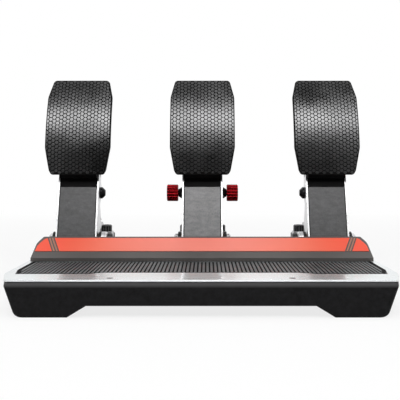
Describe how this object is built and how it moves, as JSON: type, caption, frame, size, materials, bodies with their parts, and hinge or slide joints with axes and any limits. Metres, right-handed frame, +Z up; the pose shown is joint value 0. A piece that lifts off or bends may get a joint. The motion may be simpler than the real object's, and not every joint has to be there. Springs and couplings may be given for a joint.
{
  "type": "sim racing pedal set",
  "caption": "Racing simulator pedals: leaning arms with honeycomb pads, spring and load cell struts behind, and a ribbed heel deck on a black base with wide feet.",
  "frame": {"origin": "on the floor, at the middle of the base", "axes": "+X to the driver's right, +Y away from the driver, +Z up"},
  "size_m": [0.356, 0.32, 0.229],
  "materials": {
    "shell_plastic": "fine grain",
    "foot_rubber": "matte",
    "brushed_silver": "brushed",
    "mat_rubber": "ribbed",
    "black_steel": "powder coat",
    "dark_screw": "black oxide",
    "panel_grey": "satin",
    "inlay_red": "satin",
    "machined_silver": "machined",
    "bright_screw": "bright",
    "bronze": "plain",
    "sensor_black": "moulded",
    "board_green": "solder mask",
    "arm_grey": "brushed",
    "black_metal": "anodised",
    "pad_black": "moulded tread",
    "wheel_red": "anodised",
    "spring_steel": "drawn wire",
    "puck_rubber": "smooth",
    "knob_red": "anodised"
  },
  "bodies": {
    "base": {"base_shell": "shell_plastic", "bottom_cover": "shell_plastic", "foot_pads": "foot_rubber", "heel_plate": "brushed_silver", "heel_mat": "mat_rubber", "base_plate": "black_steel", "deck_screws": "dark_screw", "front_panel": "panel_grey", "panel_inlay": "inlay_red", "clutch_bracket": "black_steel", "brake_bracket": "black_steel", "throttle_bracket": "black_steel", "bracket_screws": "dark_screw", "clutch_strut_base": "machined_silver", "brake_strut_base": "machined_silver", "throttle_strut_base": "machined_silver", "strut_base_screws": "bright_screw", "strut_pins": "bright_screw", "pivot_bearings": "bronze", "clutch_sensor": "sensor_black", "throttle_sensor": "sensor_black", "circuit_board": "board_green", "usb_socket": "bright_screw"},
    "clutch_pedal": {"clutch_arm": "arm_grey", "clutch_side_plates": "brushed_silver", "clutch_arm_screws": "dark_screw", "clutch_pad_bracket": "black_metal", "clutch_pad": "pad_black", "clutch_axle": "bright_screw", "clutch_cross_bolt": "dark_screw"},
    "clutch_strut": {"clutch_strut_sleeve": "black_metal", "clutch_spring": "spring_steel"},
    "clutch_rod": {"clutch_strut_rod": "bright_screw"},
    "clutch_wheel": {"clutch_preload_wheel": "wheel_red"},
    "brake_pedal": {"brake_arm": "arm_grey", "brake_side_plates": "brushed_silver", "brake_arm_screws": "dark_screw", "brake_pad_bracket": "black_metal", "brake_pad": "pad_black", "brake_axle": "bright_screw", "brake_cross_bolt": "dark_screw", "brake_collars": "black_metal"},
    "brake_strut": {"brake_strut_sleeve": "black_metal", "brake_elastomers": "puck_rubber", "brake_load_cell": "machined_silver"},
    "brake_rod": {"brake_strut_rod": "bright_screw"},
    "brake_wheel": {"brake_preload_wheel": "wheel_red"},
    "knob_left": {"brake_knob_left": "knob_red"},
    "knob_right": {"brake_knob_right": "knob_red"},
    "throttle_pedal": {"throttle_arm": "arm_grey", "throttle_side_plates": "brushed_silver", "throttle_arm_screws": "dark_screw", "throttle_pad_bracket": "black_metal", "throttle_pad": "pad_black", "throttle_axle": "bright_screw", "throttle_cross_bolt": "dark_screw"},
    "throttle_strut": {"throttle_strut_sleeve": "black_metal", "throttle_spring": "spring_steel"},
    "throttle_rod": {"throttle_strut_rod": "bright_screw"},
    "throttle_wheel": {"throttle_preload_wheel": "wheel_red"}
  },
  "joints": [
    {"name": "clutch_pivot", "type": "hinge", "parent": "base", "child": "clutch_pedal", "pos_m": [-0.14, 0.0315, 0.047], "axis": [-1, 0, 0], "range_deg": [0, 18], "stiffness_Nm_per_rad": 30, "springref_deg": -4.58},
    {"name": "clutch_strut_pivot", "type": "hinge", "parent": "base", "child": "clutch_strut", "pos_m": [-0.14, 0.122, 0.05], "axis": [-1, 0, 0], "range_deg": [0, 1.64]},
    {"name": "clutch_rod_slide", "type": "slide", "parent": "clutch_strut", "child": "clutch_rod", "axis": [0, 0.8243, -0.5661], "range_m": [0, 0.0173], "deforming": ["clutch_spring"]},
    {"name": "clutch_wheel_turn", "type": "hinge", "parent": "clutch_strut", "child": "clutch_wheel", "pos_m": [-0.14, 0.10057, 0.06472], "axis": [0, 0.8243, -0.5661], "continuous": true},
    {"name": "brake_pivot", "type": "hinge", "parent": "base", "child": "brake_pedal", "pos_m": [0, 0.0315, 0.047], "axis": [-1, 0, 0], "range_deg": [0, 7], "stiffness_Nm_per_rad": 120, "springref_deg": -1.15},
    {"name": "brake_strut_pivot", "type": "hinge", "parent": "base", "child": "brake_strut", "pos_m": [0, 0.122, 0.05], "axis": [-1, 0, 0], "range_deg": [0, 0.94]},
    {"name": "brake_rod_slide", "type": "slide", "parent": "brake_strut", "child": "brake_rod", "axis": [0, 0.8243, -0.5661], "range_m": [0, 0.0066], "deforming": ["brake_elastomers"]},
    {"name": "brake_wheel_turn", "type": "hinge", "parent": "brake_strut", "child": "brake_wheel", "pos_m": [0, 0.10057, 0.06472], "axis": [0, 0.8243, -0.5661], "continuous": true},
    {"name": "throttle_pivot", "type": "hinge", "parent": "base", "child": "throttle_pedal", "pos_m": [0.14, 0.0315, 0.047], "axis": [-1, 0, 0], "range_deg": [0, 16], "stiffness_Nm_per_rad": 20, "springref_deg": -4.58},
    {"name": "throttle_strut_pivot", "type": "hinge", "parent": "base", "child": "throttle_strut", "pos_m": [0.14, 0.122, 0.05], "axis": [-1, 0, 0], "range_deg": [0, 1.58]},
    {"name": "throttle_rod_slide", "type": "slide", "parent": "throttle_strut", "child": "throttle_rod", "axis": [0, 0.8243, -0.5661], "range_m": [0, 0.0153], "deforming": ["throttle_spring"]},
    {"name": "throttle_wheel_turn", "type": "hinge", "parent": "throttle_strut", "child": "throttle_wheel", "pos_m": [0.14, 0.10057, 0.06472], "axis": [0, 0.8243, -0.5661], "continuous": true},
    {"name": "knob_left_turn", "type": "hinge", "parent": "brake_pedal", "child": "knob_left", "pos_m": [-0.034, 0.05065, 0.09899], "axis": [1, 0, 0], "continuous": true},
    {"name": "knob_right_turn", "type": "hinge", "parent": "brake_pedal", "child": "knob_right", "pos_m": [0.034, 0.05065, 0.09899], "axis": [1, 0, 0], "continuous": true}
  ],
  "couplings": [
    {"joint": "clutch_strut_pivot", "follows": "clutch_pivot", "ratio": 0.090953},
    {"joint": "clutch_rod_slide", "follows": "clutch_pivot", "m_per_rad": 0.054893},
    {"joint": "brake_strut_pivot", "follows": "brake_pivot", "ratio": 0.13333},
    {"joint": "brake_rod_slide", "follows": "brake_pivot", "m_per_rad": 0.054022},
    {"joint": "throttle_strut_pivot", "follows": "throttle_pivot", "ratio": 0.098499},
    {"joint": "throttle_rod_slide", "follows": "throttle_pivot", "m_per_rad": 0.054531}
  ]
}
